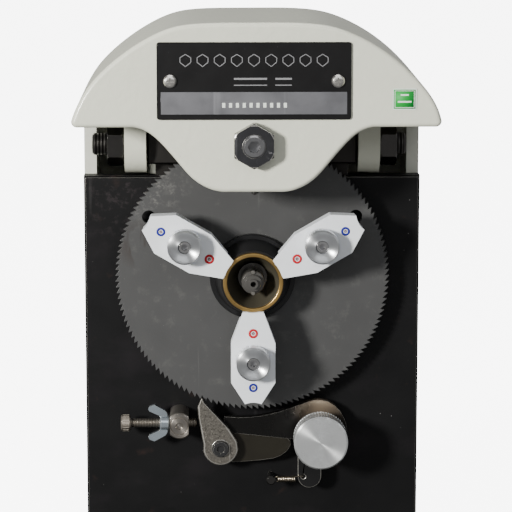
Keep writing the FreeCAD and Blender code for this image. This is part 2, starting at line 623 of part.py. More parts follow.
def make_release_knob():
    f, b = -26.0, -13.8
    knob = lathe_y([(0, f), (KNOB_R - 0.7, f), (KNOB_R, f + 0.7), (KNOB_R, b - 1.4),
                    (KNOB_R - 0.8, b - 0.8), (9.0, b - 0.8), (9.0, b + 0.1), (4.0 + RUNNING_GAP, b + 0.1),
                    (4.0 + RUNNING_GAP, -22.4), (0, -22.4)], KNOB_AXIS)
    grooves = []
    for i in range(60):
        x, z = polar(KNOB_R + 0.14, 6.0 * i)
        grooves.append(rod_y((KNOB_AXIS[0] + x, KNOB_AXIS[1] + z), 0.36, f + 1.5, b - 2.1))
    return knob.cut(Part.makeCompound(grooves))


def make_adjust_screw():
    head = lathe_y([(0, -59.0), (3.2, -59.0), (3.8, -58.4), (3.8, -55.2), (3.2, -54.6), (0, -54.6)])
    grooves = [rod_y(polar(3.86, 20.0 * i), 0.28, -58.2, -55.4) for i in range(18)]
    head = head.cut(Part.makeCompound(grooves))
    shank = lathe_y([(0, -54.6), (ADJUST_R, -54.6), (ADJUST_R, -25.7), (1.2, -24.95), (0, -24.95)])
    screw = along_x(join([head, shank]))
    screw.translate(V(0, ADJUST_Y, POST_AT[1]))
    return screw


def make_wing_nut():
    hub = lathe_y([(ADJUST_R + RUNNING_GAP, -41.5), (3.0, -41.5), (3.4, -41.0), (3.4, -37.8), (3.0, -37.3),
                   (ADJUST_R + RUNNING_GAP, -37.3)])
    hub = along_x(hub)
    wings = []
    for side in (-1, 1):
        outline = [(-41.3, 2.2), (-41.8, 3.4), (-46.2, 5.4), (-46.8, 6.4), (-46.2, 7.6), (-44.0, 8.4),
                   (-39.0, 5.6), (-38.2, 4.2),
                   (-38.1, 2.2)]
        wings.append(plate_from([(x, side * z) for x, z in outline], -1.1, 1.1))
    nut = join([hub] + wings).cut(rod_x(0, 0, ADJUST_R + RUNNING_GAP, -50, -30))
    nut.translate(V(0, ADJUST_Y, POST_AT[1]))
    return nut


def make_lever_spring():
    """Extension spring from the anchor pin to the hole in the lever's tail."""
    wire_r, coil_r, y = 0.36, 1.15, SPRING_Y
    x0, x1, z = 11.2, 19.2, -93.4
    helix = Part.makeHelix(0.8, x1 - x0, coil_r)
    helix.rotate(V(0, 0, 0), Y, 90)
    helix.translate(V(x0, y, z))
    first = helix.Edges[0]
    start, tangent = first.valueAt(first.FirstParameter), first.tangentAt(first.FirstParameter)
    ring = Part.Wire(Part.makeCircle(wire_r, start, tangent))
    coil = Part.Wire(helix.Edges).makePipeShell([ring], True, True)
    ax, az = SPRING_ANCHOR
    tx, tz = TAIL_HOLE
    straight = []
    ends = (((x0 + 0.2, z + coil_r), (ax + 1.0, az + 0.6)), ((x1 - 0.2, z + coil_r), (tx - 0.3, tz + 0.2)))
    for a, b in ends:
        line = V(b[0] - a[0], 0, b[1] - a[1])
        straight.append(Part.makeCylinder(wire_r, line.Length, V(a[0], y, a[1]), line))
    eye = Part.makeTorus(1.15, wire_r, V(ax, y, az), Y)
    hook = rod_y((tx - 0.4, tz + 0.2), wire_r, y, -7.4)
    return join([coil, eye, hook] + straight)


def main():
    os.makedirs("parts", exist_ok=True)
    save("hood_casting", make_hood())
    save("name_plate", make_name_plate())
    x0, x1, z0, z1 = STRIP
    face = HOOD_FRONT - NAME_PLATE_THICKNESS
    save("name_plate_strip", box(x0, x1, face - 0.25, face, z0, z1))
    save("name_plate_screws", group([make_dome_screw((s * PLATE_SCREW_X, PLATE_SCREW_Z), face, 2.8, 1.6, 1.5,
                                                      HOOD_FRONT + 5) for s in (-1, 1)]))
    x0, x1, z0, z1 = LABEL
    save("inspection_label", box(x0, x1, HOOD_FRONT - 0.25, HOOD_FRONT, z0, z1))
    for side, name in ((-1, "left"), (1, "right")):
        save(name + "_pivot_screw", make_pivot_screw(side))
        save(name + "_lock_nut", make_lock_nut(side))
    save("stop_screw", make_stop_screw())
    nut = make_hex_nut(LOCK_NUT_AF, STOP_SCREW_R + RUNNING_GAP, HOOD_FRONT - 6.1, HOOD_FRONT - 0.1)
    nut.translate(V(0, 0, STOP_Z))
    save("stop_lock_nut", nut)
    pin = join([rod_z(TONGUE_PIN_X, TONGUE_PIN_Y, TONGUE_PIN_R, 42.3, 47.0),
                Part.makeSphere(TONGUE_PIN_R, V(TONGUE_PIN_X, TONGUE_PIN_Y, 43.2))])
    save("tongue_pin", pin)

    save("rear_housing", make_rear_housing())
    save("rear_cover", make_rear_cover())
    save("rear_cover_screws", group([make_cap_screw(at, HOOD_BACK + 2, 3.6, 2.4, 2.0, 30.0, -1)
                                     for at in COVER_SCREWS]))
    save("hood_bolts", group([make_cap_screw(at, HOOD_BACK, 4.2, 2.5, 2.5, 26.0, -1) for at in HOOD_SCREWS]))
    save("base_plate", make_base_plate())
    save("base_bolts", group([make_base_bolt(x, y) for x, y in BASE_BOLTS]))
    save("rubber_feet", group([make_foot(x, y) for x, y in BASE_FEET]))
    save("rest_pads", group([rod_y((x, z), PAD_R, 8.05, HOUSING_FRONT + 4) for x, z in REST_PADS]))

    save("front_plate", make_front_plate())
    save("hinge_block", make_hinge_block())
    save("hinge_block_screws", group([make_cap_screw(at, 14.0, 4.0, 3.0, 2.5, 2.0, -1)
                                      for at in BLOCK_SCREWS]))
    save("bearing_housing", make_bearing_housing())
    save("bearing_housing_screws", group([make_cap_screw(at, 13.0, 4.0, 3.5, 2.5, 2.0, -1)
                                          for at in HOUSING_SCREWS]))
    save("front_bearing", make_bearing(10.0, 21.0))
    save("rear_bearing", make_bearing(23.0, 34.0))
    save("bearing_spacer", lathe_y([(13.5, 21), (BEARING_OUTER_R, 21), (BEARING_OUTER_R, 23), (13.5, 23)]))
    save("adjuster_post", make_adjuster_post())
    save("arm_pivot_stud", make_arm_pivot_stud())
    save("spring_anchor_pin", make_spring_anchor())

    studs = [polar(CLAMP_STUD_AT, a) for a in CLAMP_ANGLES]
    save("index_wheel", make_index_wheel())
    save("spindle", make_spindle())
    save("spindle_nut", make_hex_nut(22.0, 6.9, 34.3, 39.8))
    save("wheel_screws", group([make_wheel_screw(polar(WHEEL_SCREW_AT, a)) for a in CLAMP_ANGLES]))
    save("hub", make_hub())
    save("brass_ring", make_brass_ring())
    save("dop_cup", make_dop_cup())
    save("collet_nose", make_collet_nose())
    save("collet_pins", group([rod_y((0, s * 4.7), 0.8, -28.3, -14) for s in (-1, 1)]))
    save("clamp_standoffs", group([make_standoff(at) for at in studs]))
    save("clamp_studs", group([make_clamp_stud(at) for at in studs]))
    for number, angle in enumerate(CLAMP_ANGLES, 1):
        save("clamp_plate_%d" % number, make_clamp_plate(angle))
        save("thumb_nut_%d" % number, make_thumb_nut(angle))

    save("index_pawl", make_index_pawl())
    save("lever_arm", make_lever_arm())
    save("pawl_carrier", make_pawl_carrier())
    save("pawl_screw", make_cap_screw(PAWL_PIVOT, -12.2, 3.65, 1.6, 2.0, -3.2))
    save("lever_tail", make_lever_tail())
    save("release_knob", make_release_knob())
    save("adjust_screw", make_adjust_screw())
    save("wing_nut", make_wing_nut())
    save("lever_spring", make_lever_spring())


main()
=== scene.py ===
import math

import bmesh
import bpy
from mathutils import Matrix, Vector


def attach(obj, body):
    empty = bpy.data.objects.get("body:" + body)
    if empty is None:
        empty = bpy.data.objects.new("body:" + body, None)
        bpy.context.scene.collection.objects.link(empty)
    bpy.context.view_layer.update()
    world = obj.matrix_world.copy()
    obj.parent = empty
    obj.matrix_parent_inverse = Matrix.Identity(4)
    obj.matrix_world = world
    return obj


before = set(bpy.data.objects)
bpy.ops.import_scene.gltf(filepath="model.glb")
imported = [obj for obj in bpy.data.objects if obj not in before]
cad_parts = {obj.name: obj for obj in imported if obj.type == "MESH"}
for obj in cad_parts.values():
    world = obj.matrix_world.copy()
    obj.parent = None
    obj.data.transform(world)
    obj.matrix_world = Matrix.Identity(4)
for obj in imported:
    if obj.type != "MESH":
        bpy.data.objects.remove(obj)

# The saved frame is in metres, X right, Y back, Z up. Local drawings below are in millimetres
# about the spindle axis, with the front plate's face at y = 0.
SPINDLE_HEIGHT = 142.0
FRAME_SHIFT_Y = 5.25
CLAMP_ANGLES = (30.0, 150.0, 270.0)
CLAMP_STUD_AT = 34.5
KNOB_AXIS = (30.2, -73.0)
PAWL_PIVOT = (-14.3, -78.6)
PAWL_FACE = -12.0
POST_CENTRE = (-32.8, 0, -67.0)

# Camera
LENS = 175.8
ELEVATION = math.radians(9.8)
YAW = math.radians(1.1)
DISTANCE = 1112.5
AIM_RIGHT = -1.60
AIM_UP = -8.68

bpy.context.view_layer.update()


def at(x, y, z):
    return Vector((x, y + FRAME_SHIFT_Y, z + SPINDLE_HEIGHT)) / 1000.0


def polar(radius, degrees):
    turn = math.radians(degrees)
    return radius * math.cos(turn), radius * math.sin(turn)


def linear(rgb):
    """Display colour 0-255 to linear light."""
    out = []
    for c in rgb:
        c = c / 255.0
        out.append(c / 12.92 if c <= 0.04045 else ((c + 0.055) / 1.055) ** 2.4)
    return (*out, 1.0)


# ---- Materials --------------------------------------------------------------------------

class Shader:
    """Small helper round one principled material and its node tree."""

    def __init__(self, name, colour, metallic, roughness):
        self.mat = bpy.data.materials.new(name)
        self.mat.use_nodes = True
        self.tree = self.mat.node_tree
        self.bsdf = self.tree.nodes["Principled BSDF"]
        self.bsdf.inputs["Base Color"].default_value = linear(colour)
        self.bsdf.inputs["Metallic"].default_value = metallic
        self.bsdf.inputs["Roughness"].default_value = roughness
        self.colour = None
        self.rough = None
        self.base = linear(colour)
        self.base_rough = roughness
        self.normal = None
        self.coord = self.node("ShaderNodeTexCoord").outputs["Object"]

    def node(self, kind, **settings):
        made = self.tree.nodes.new(kind)
        for key, value in settings.items():
            setattr(made, key, value)
        return made

    def link(self, a, b):
        self.tree.links.new(a, b)

    def vector(self, stretch, turn=(0, 0, 0), shift=(0, 0, 0)):
        mapping = self.node("ShaderNodeMapping")
        self.link(self.coord, mapping.inputs["Vector"])
        mapping.inputs["Scale"].default_value = stretch
        mapping.inputs["Rotation"].default_value = [math.radians(a) for a in turn]
        mapping.inputs["Location"].default_value = shift
        return mapping.outputs["Vector"]

    def noise(self, scale, detail=4.0, stretch=(1, 1, 1), turn=(0, 0, 0), shift=(0, 0, 0), rough=0.55):
        made = self.node("ShaderNodeTexNoise")
        self.link(self.vector(stretch, turn, shift), made.inputs["Vector"])
        made.inputs["Scale"].default_value = scale
        made.inputs["Detail"].default_value = detail
        made.inputs["Roughness"].default_value = rough
        return made.outputs["Fac"]

    def remap(self, value, low, high, out_low=0.0, out_high=1.0):
        made = self.node("ShaderNodeMapRange")
        self.link(value, made.inputs["Value"])
        for key, number in (("From Min", low), ("From Max", high), ("To Min", out_low), ("To Max", out_high)):
            made.inputs[key].default_value = number
        return made.outputs["Result"]

    def tint(self, mask, rgb):
        """Mix the colour towards rgb where the mask is 1."""
        mix = self.node("ShaderNodeMix", data_type="RGBA")
        self.link(mask, mix.inputs["Factor"])
        if self.colour is None:
            mix.inputs["A"].default_value = self.base
        else:
            self.link(self.colour, mix.inputs["A"])
        mix.inputs["B"].default_value = linear(rgb)
        self.colour = mix.outputs["Result"]
        self.link(self.colour, self.bsdf.inputs["Base Color"])
        return self

    def gloss(self, mask, amount):
        """Add amount to the roughness where the mask is 1."""
        made = self.node("ShaderNodeMath", operation="MULTIPLY_ADD")
        self.link(mask, made.inputs[0])
        made.inputs[1].default_value = amount
        if self.rough is None:
            made.inputs[2].default_value = self.base_rough
        else:
            self.link(self.rough, made.inputs[2])
        self.rough = made.outputs["Value"]
        self.link(self.rough, self.bsdf.inputs["Roughness"])
        return self

    def bump(self, height, strength, depth_mm):
        made = self.node("ShaderNodeBump")
        self.link(height, made.inputs["Height"])
        made.inputs["Strength"].default_value = strength
        made.inputs["Distance"].default_value = depth_mm / 1000.0
        if self.normal is not None:
            self.link(self.normal, made.inputs["Normal"])
        self.normal = made.outputs["Normal"]
        self.link(self.normal, self.bsdf.inputs["Normal"])
        return self

    def scratches(self, amount, turn, rgb, scale=260.0, shift=(0, 0, 0)):
        """Fine straight scuffs running along one direction."""
        field = self.noise(scale, 3.0, (1.0, 1.0, 0.035), turn, shift)
        mask = self.remap(field, 0.66, 0.74, 0.0, amount)
        patch = self.remap(self.noise(28.0, 2.0, shift=(3.1, 1.7, 0.4)), 0.45, 0.62)
        both = self.node("ShaderNodeMath", operation="MULTIPLY")
        self.link(mask, both.inputs[0])
        self.link(patch, both.inputs[1])
        return self.tint(both.outputs["Value"], rgb).gloss(both.outputs["Value"], 0.15)

    def specks(self, amount, rgb, scale=420.0, size=0.1):
        """Scattered dust and chips."""
        cells = self.node("ShaderNodeTexVoronoi")
        self.link(self.vector((1, 1, 1)), cells.inputs["Vector"])
        cells.inputs["Scale"].default_value = scale
        dot = self.remap(cells.outputs["Distance"], size, size * 0.4)
        rare = self.remap(self.noise(180.0, 1.0, shift=(0.2, 0.9, 0.5)), 0.6, 0.68, 0.0, amount)
        both = self.node("ShaderNodeMath", operation="MULTIPLY")
        self.link(dot, both.inputs[0])
        self.link(rare, both.inputs[1])
        return self.tint(both.outputs["Value"], rgb)

    def turned(self, centre, pitch_mm, depth_mm, axis="Y", anisotropic=0.0):
        """Concentric tool marks about a line through centre."""
        shifted = self.node("ShaderNodeVectorMath", operation="SUBTRACT")
        self.link(self.coord, shifted.inputs[0])
        shifted.inputs[1].default_value = centre
        flat = self.node("ShaderNodeVectorMath", operation="MULTIPLY")
        self.link(shifted.outputs["Vector"], flat.inputs[0])
        flat.inputs[1].default_value = {"Y": (1, 0, 1), "X": (0, 1, 1)}[axis]
        length = self.node("ShaderNodeVectorMath", operation="LENGTH")
        self.link(flat.outputs["Vector"], length.inputs[0])
        rings = self.node("ShaderNodeTexNoise", noise_dimensions="1D")
        self.link(length.outputs["Value"], rings.inputs["W"])
        rings.inputs["Scale"].default_value = 1000.0 / pitch_mm
        rings.inputs["Detail"].default_value = 3.0
        self.bump(rings.outputs["Fac"], 1.0, depth_mm)
        if anisotropic:
            around = self.node("ShaderNodeTangent", direction_type="RADIAL", axis=axis)
            self.link(around.outputs["Tangent"], self.bsdf.inputs["Tangent"])
            self.bsdf.inputs["Anisotropic"].default_value = anisotropic
            self.bsdf.inputs["Anisotropic Rotation"].default_value = 0.25
        return self

    def near(self, place, inner, outer):
        """1 close to a place, falling to 0 at the outer distance (metres)."""
        away = self.node("ShaderNodeVectorMath", operation="DISTANCE")
        self.link(self.coord, away.inputs[0])
        away.inputs[1].default_value = place
        return self.remap(away.outputs["Value"], outer, inner)

    def both(self, a, b):
        made = self.node("ShaderNodeMath", operation="MULTIPLY")
        self.link(a, made.inputs[0])
        self.link(b, made.inputs[1])
        return made.outputs["Value"]

    def thread(self, axis, pitch_mm, depth_mm, start=-1.0, stop=1.0):
        """Thread grooves across the axis, between two places along it (metres)."""
        split = self.node("ShaderNodeSeparateXYZ")
        self.link(self.coord, split.inputs["Vector"])
        along = split.outputs[axis]
        wave = self.node("ShaderNodeMath", operation="PINGPONG")
        self.link(along, wave.inputs[0])
        wave.inputs[1].default_value = pitch_mm / 2000.0
        height = self.remap(wave.outputs["Value"], 0.0, pitch_mm / 2000.0)
        low = self.node("ShaderNodeMath", operation="GREATER_THAN")
        self.link(along, low.inputs[0])
        low.inputs[1].default_value = start
        high = self.node("ShaderNodeMath", operation="LESS_THAN")
        self.link(along, high.inputs[0])
        high.inputs[1].default_value = stop
        inside = self.node("ShaderNodeMath", operation="MULTIPLY")
        self.link(low.outputs["Value"], inside.inputs[0])
        self.link(high.outputs["Value"], inside.inputs[1])
        grooves = self.node("ShaderNodeMath", operation="MULTIPLY")
        self.link(height, grooves.inputs[0])
        self.link(inside.outputs["Value"], grooves.inputs[1])
        self.bump(grooves.outputs["Value"], 1.0, depth_mm)
        # Painted shade in the thread roots: the low parts of the grooves are tinted near-black.
        root = self.node("ShaderNodeMath", operation="MULTIPLY_ADD")
        self.link(height, root.inputs[0])
        root.inputs[1].default_value = -0.8
        root.inputs[2].default_value = 0.8
        dark = self.node("ShaderNodeMath", operation="MULTIPLY")
        self.link(root.outputs["Value"], dark.inputs[0])
        self.link(inside.outputs["Value"], dark.inputs[1])
        return self.tint(dark.outputs["Value"], (25, 22, 20))


def worn_metal(name, rgb, roughness, scuff=(200, 198, 192), amount=0.5, turn=(0, 35, 0), metallic=1.0):
    s = Shader(name, rgb, metallic, roughness)
    s.tint(s.remap(s.noise(60.0, 5.0), 0.35, 0.75, 0.0, 0.35), [c * 0.55 for c in rgb])
    s.gloss(s.noise(140.0, 5.0), 0.16)
    s.scratches(amount, turn, scuff)
    return s.bump(s.noise(900.0, 3.0), 0.25, 0.02)


def hammertone(name, rgb, grime=0.12):
    s = Shader(name, rgb, 0.0, 0.36)
    s.tint(s.remap(s.noise(22.0, 4.0), 0.42, 0.75, 0.0, grime), [c * 0.86 for c in rgb])
    s.tint(s.remap(s.noise(330.0, 2.0), 0.55, 0.75, 0.0, 0.16), [min(255, c * 1.08) for c in rgb])
    s.specks(0.5, (120, 118, 108), 300.0, 0.07)
    s.gloss(s.noise(240.0, 3.0), 0.14)
    s.bsdf.inputs["Coat Weight"].default_value = 0.5
    s.bsdf.inputs["Coat Roughness"].default_value = 0.14
    s.bump(s.noise(330.0, 2.5, rough=0.5), 0.55, 0.28)
    return s.bump(s.noise(70.0, 2.0), 0.3, 0.5)


def blued_plate():
    s = Shader("blued_plate", (5, 5, 6), 0.0, 0.36)
    s.bsdf.inputs["Specular IOR Level"].default_value = 0.22
    stain = s.remap(s.noise(26.0, 6.0, (1.0, 1.0, 1.6), rough=0.65), 0.5, 0.78, 0.0, 0.55)
    s.tint(stain, (28, 23, 27))
    rust = s.remap(s.noise(95.0, 5.0, shift=(0.4, 0.1, 2.0)), 0.62, 0.74, 0.0, 0.5)
    s.tint(rust, (44, 30, 26))
    s.specks(0.9, (150, 148, 146), 260.0, 0.06)
    near = s.near(at(-58, 0, 38), 0.002, 0.03)
    s.tint(s.both(near, s.remap(s.noise(210.0, 6.0, rough=0.75), 0.52, 0.66, 0.0, 0.5)), (62, 54, 56))
    s.gloss(s.noise(34.0, 6.0), 0.3)
    s.scratches(0.28, (0, 20, 0), (110, 108, 108), 180.0)
    return s.bump(s.noise(520.0, 4.0), 0.35, 0.03)


def wheel_steel():
    s = Shader("wheel_steel", (77, 77, 77), 0.5, 0.42)
    s.bsdf.inputs["Specular IOR Level"].default_value = 0.4
    s.tint(s.remap(s.noise(30.0, 5.0), 0.4, 0.72, 0.0, 0.4), (70, 70, 70))
    s.tint(s.remap(s.noise(160.0, 6.0, rough=0.7), 0.56, 0.72, 0.0, 0.3), (108, 108, 104))
    s.scratches(0.45, (0, 50, 0), (150, 150, 146), 220.0)
    s.specks(0.6, (135, 135, 130), 500.0, 0.08)
    # Paler patch on the upper left of the wheel face.
    upper_left_pale_patch = s.near(at(-46, -10, 40), 0.002, 0.02)
    s.tint(s.both(upper_left_pale_patch, s.remap(s.noise(330.0, 6.0, rough=0.8), 0.5, 0.64, 0.0, 0.6)), (136, 134, 130))
    chip = s.near(at(-50, -10, 14), 0.002, 0.012)
    flake = s.remap(s.noise(150.0, 2.0, (1.0, 1.0, 0.3), (0, 30, 0)), 0.5, 0.55, 0.0, 0.8)
    s.tint(s.both(chip, flake), (58, 50, 46))
    s.gloss(s.noise(80.0, 4.0), 0.16)
    return s.turned(at(0, 0, 0), 0.5, 0.012)


def nylon():
    s = Shader("nylon", (226, 229, 233), 0.0, 0.42)
    s.bsdf.inputs["Subsurface Weight"].default_value = 0.15
    s.bsdf.inputs["Subsurface Radius"].default_value = (0.004, 0.004, 0.005)
    s.bsdf.inputs["Subsurface Scale"].default_value = 0.5
    s.tint(s.remap(s.noise(120.0, 5.0), 0.5, 0.8, 0.0, 0.22), (196, 200, 206))
    s.specks(0.5, (120, 118, 112), 330.0, 0.06)
    s.gloss(s.noise(200.0, 3.0), 0.14)
    return s.bump(s.noise(1400.0, 2.0, (1.0, 1.0, 0.2)), 0.25, 0.02)


def turned_metal(name, rgb, centre, roughness=0.3, anisotropic=0.9, pitch=0.35, depth=0.006, axis="Y",
                 metallic=1.0):
    s = Shader(name, rgb, metallic, roughness)
    s.tint(s.remap(s.noise(170.0, 5.0), 0.5, 0.75, 0.0, 0.25), [c * 0.72 for c in rgb])
    s.scratches(0.3, (0, -30, 0), [min(255, c * 1.25) for c in rgb], 300.0)
    s.gloss(s.noise(260.0, 4.0), 0.1)
    return s.turned(centre, pitch, depth, axis, anisotropic)


def plain(name, rgb, metallic, roughness, mottle=0.25, grain=700.0, depth=0.03):
    s = Shader(name, rgb, metallic, roughness)
    s.tint(s.remap(s.noise(70.0, 5.0), 0.42, 0.78, 0.0, mottle), [c * 0.7 for c in rgb])
    s.gloss(s.noise(150.0, 4.0), 0.14)
    return s.bump(s.noise(grain, 3.0), 0.3, depth)


def threaded(name, rgb, axis, pitch, depth, start, stop, roughness=0.3):
    s = plain(name, rgb, 1.0, roughness)
    return s.thread(axis, pitch, depth, start, stop)


def assign(node_names, shader):
    for name in node_names:
        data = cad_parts[name].data
        data.materials.clear()
        data.materials.append(shader.mat)


BLACK_STEEL = (88, 86, 84)
BRIGHT_STEEL = (178, 174, 166)

paint = hammertone("hood_paint", (214, 215, 198))
housing_paint = hammertone("housing_paint", (208, 209, 197), 0.2)
base_paint = plain("base_paint", (9, 9, 10), 0.0, 0.4)
base_paint.bsdf.inputs["Specular IOR Level"].default_value = 0.3
black_oxide = worn_metal("black_oxide", BLACK_STEEL, 0.17, (190, 188, 184), 0.5)
stop_steel = worn_metal("stop_steel", (104, 104, 107), 0.17, (215, 215, 215), 0.5)
rubber = plain("rubber", (24, 24, 24), 0.0, 0.75, 0.4, 500.0, 0.06)
nickel = worn_metal("nickel", (225, 222, 216), 0.16, (240, 238, 232), 0.3)
zinc = worn_metal("zinc", (184, 195, 204), 0.13, (235, 240, 245), 0.6, metallic=0.85)
olive = worn_metal("olive_plate", (50, 47, 40), 0.22, (120, 116, 98), 0.3, metallic=0.6)
ground = worn_metal("ground_steel", (62, 60, 58), 0.34, (140, 136, 130), 0.5)
lever_steel = worn_metal("lever_steel", (30, 29, 28), 0.2, (120, 114, 106), 0.3, metallic=0.7)
# Painted highlight: a pale brownish sheen painted onto the dark arm near the knob, standing in for a
# reflection.
arm_painted_sheen = lever_steel.near(at(31, -10, -57), 0.0, 0.017)
lever_steel.tint(lever_steel.both(arm_painted_sheen, arm_painted_sheen), (196, 176, 152))
spring_steel = plain("spring_steel", (186, 176, 158), 1.0, 0.2)
casting = plain("cast_aluminium", (168, 168, 168), 1.0, 0.4)
anodised = plain("black_anodised", (19, 19, 20), 0.1, 0.24)
enamel = plain("name_plate_enamel", (9, 8, 9), 0.0, 0.34, 0.3, 260.0, 0.02)
enamel.bsdf.inputs["Specular IOR Level"].default_value = 0.3
enamel.specks(0.5, (120, 118, 120), 600.0, 0.06)
strip_metal = worn_metal("strip_metal", (140, 140, 144), 0.36, (190, 190, 194), 0.2, (0, 70, 0))
label_green = plain("label_green", (0, 150, 52), 0.0, 0.5, 0.12, 500.0, 0.01)
label_white = plain("label_white", (226, 232, 224), 0.0, 0.45, 0.1)
silver_ink = plain("silver_ink", (150, 150, 152), 0.6, 0.4, 0.3)
pad = plain("pad_plastic", (214, 212, 200), 0.0, 0.5)
pawl_steel = plain("pawl_steel", (112, 108, 101), 0.75, 0.28, 0.15, 1200.0, 0.04)
light_grain = pawl_steel.remap(pawl_steel.noise(1300.0, 4.0, rough=0.8), 0.52, 0.64, 0.0, 0.6)
pawl_steel.tint(light_grain, (176, 170, 160))
dark_grain = pawl_steel.remap(pawl_steel.noise(1100.0, 3.0, shift=(5, 2, 1)), 0.54, 0.66, 0.0, 0.7)
pawl_steel.tint(dark_grain, (62, 59, 54))
pawl_steel.scratches(1.0, (0, 40, 0), (246, 242, 234), 420.0)
pawl_steel.scratches(0.8, (0, -35, 0), (246, 242, 234), 300.0, (2, 1, 4))
pawl_steel.specks(0.8, (224, 218, 205), 520.0, 0.1)
red_ink = plain("red_ring", (176, 0, 22), 0.0, 0.6, 0.1)
blue_ink = plain("blue_ring", (0, 16, 128), 0.0, 0.6, 0.1)
hole_dark = plain("mark_pit", (120, 100, 104), 0.0, 0.6, 0.1)

assign(["hood_casting"], paint)
assign(["rear_housing", "rear_cover"], housing_paint)
assign(["base_plate", "lever_tail"], base_paint)
assign(["rear_cover_screws", "hood_bolts", "base_bolts", "hinge_block_screws", "bearing_housing_screws",
        "wheel_screws", "left_lock_nut", "right_lock_nut", "tongue_pin", "spring_anchor_pin"],
       black_oxide)
assign(["clamp_studs"], worn_metal("stud_steel", (172, 172, 174), 0.24, (225, 225, 225), 0.5))
assign(["rubber_feet"], rubber)
assign(["pawl_screw"], plain("pawl_screw_steel", (44, 44, 45), 0.35, 0.26))
assign(["rest_pads"], pad)
assign(["name_plate"], enamel)
assign(["name_plate_strip"], strip_metal)
assign(["name_plate_screws"], nickel)
assign(["inspection_label"], label_green)
assign(["front_plate"], blued_plate())
assign(["hinge_block"], ground)
assign(["bearing_housing", "bearing_spacer", "clamp_standoffs"], casting)
assign(["front_bearing", "rear_bearing", "spindle", "spindle_nut", "arm_pivot_stud", "collet_pins"],
       worn_metal("bright_steel", BRIGHT_STEEL, 0.22))
assign(["stop_lock_nut"], stop_steel)
assign(["stop_screw"], worn_metal("stop_screw_steel", (150, 150, 152), 0.22, (215, 215, 215), 0.5))
assign(["index_wheel"], wheel_steel())
assign(["hub"], anodised)
assign(["dop_cup"], turned_metal("cup_metal", (78, 74, 62), at(0, 0, 0), 0.34, 0.0, 0.5, 0.01, metallic=0.35))
assign(["brass_ring"], turned_metal("brass", (204, 168, 104), at(0, 0, 0), 0.24, 0.4))
assign(["collet_nose"], turned_metal("nose_steel", (96, 94, 91), at(0, 0, 0), 0.2, 0.3, metallic=0.6))
assign(["lever_arm"], lever_steel)
assign(["pawl_carrier"], olive)
assign(["index_pawl"], pawl_steel)
assign(["wing_nut"], zinc)
assign(["lever_spring"], spring_steel)
assign(["release_knob"], turned_metal("knob_metal", (240, 242, 242), at(KNOB_AXIS[0], 0, KNOB_AXIS[1]), 0.2,
                                      depth=0.011, metallic=0.86))
assign(["adjuster_post"], turned_metal("post_metal", (168, 162, 154), at(*POST_CENTRE), 0.26, 0.6,
                                        0.6, 0.03))
assign(["adjust_screw"], threaded("adjust_thread", (176, 168, 156), "X", 0.7, 0.25, -0.0545, -0.0255))
assign(["left_pivot_screw"], threaded("left_thread", BLACK_STEEL, "X", 1.5, 0.5, -0.0702, -0.0643))
assign(["right_pivot_screw"], threaded("right_thread", BLACK_STEEL, "X", 1.5, 0.5, 0.0643, 0.0678))
white = nylon()
for number, angle in enumerate(CLAMP_ANGLES, 1):
    x, z = polar(CLAMP_STUD_AT, angle)
    assign(["clamp_plate_%d" % number], white)
    assign(["thumb_nut_%d" % number], turned_metal("nut_metal_%d" % number, (222, 224, 226), at(x, 0, z)))


# ---- Rounded edges on the CAD parts ---------------------------------------------------------

SOFT_EDGE_MM = {
    "hood_casting": 0.8, "rear_housing": 0.8, "rear_cover": 0.4, "base_plate": 0.4, "front_plate": 0.15,
    "index_wheel": 0.12, "release_knob": 0.15, "rubber_feet": 0.5, "hinge_block": 0.25, "index_pawl": 0.25,
    "clamp_plate_1": 0.3, "clamp_plate_2": 0.3, "clamp_plate_3": 0.3, "lever_arm": 0.3, "pawl_carrier": 0.3,
    "lever_tail": 0.2, "left_lock_nut": 0.25, "right_lock_nut": 0.25,
    "wing_nut": 0.5, "lever_spring": 0.0, "inspection_label": 0.0, "name_plate_strip": 0.08,
}
DEFAULT_EDGE_MM = 0.15
SHARP_ANGLE = math.radians(28)


def soften(obj, width_mm):
    if "custom_normal" in obj.data.attributes:
        obj.data.attributes.remove(obj.data.attributes["custom_normal"])
    for face in obj.data.polygons:
        face.use_smooth = True
    weld = obj.modifiers.new("weld", "WELD")
    weld.merge_threshold = 2e-6
    if width_mm:
        bevel = obj.modifiers.new("bevel", "BEVEL")
        bevel.width = width_mm / 1000.0
        bevel.segments = 2
        bevel.limit_method = "ANGLE"
        bevel.angle_limit = SHARP_ANGLE
        bevel.harden_normals = True
        obj.modifiers.new("normals", "WEIGHTED_NORMAL").keep_sharp = True


for name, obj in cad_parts.items():
    soften(obj, SOFT_EDGE_MM.get(name, DEFAULT_EDGE_MM))


# Bevelled corners given a bright material: a painted highlight along the edges.
PAINTED_HIGHLIGHT_PARTS = ("lever_tail", "pawl_carrier", "lever_arm", "index_pawl", "left_lock_nut", "right_lock_nut",
                "wing_nut", "stop_lock_nut", "stop_screw", "pawl_screw", "clamp_studs", "front_plate",
                "name_plate")
painted_edge_highlight = plain("painted_edge_highlight", (188, 185, 178), 0.8, 0.22)
for name in PAINTED_HIGHLIGHT_PARTS:
    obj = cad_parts[name]
    obj.data.materials.append(painted_edge_highlight.mat)
    obj.modifiers["bevel"].material = 1


# ---- Added pieces -----------------------------------------------------------------------------

def add_piece(name, bm, shader, body, smooth=True):
    mesh = bpy.data.meshes.new(name)
    bmesh.ops.recalc_face_normals(bm, faces=bm.faces)
    for face in bm.faces:
        face.smooth = smooth
    bm.to_mesh(mesh)
    bm.free()
    obj = bpy.data.objects.new(name, mesh)
    bpy.context.scene.collection.objects.link(obj)
    mesh.materials.append(shader.mat)
    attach(obj, body)
    return obj


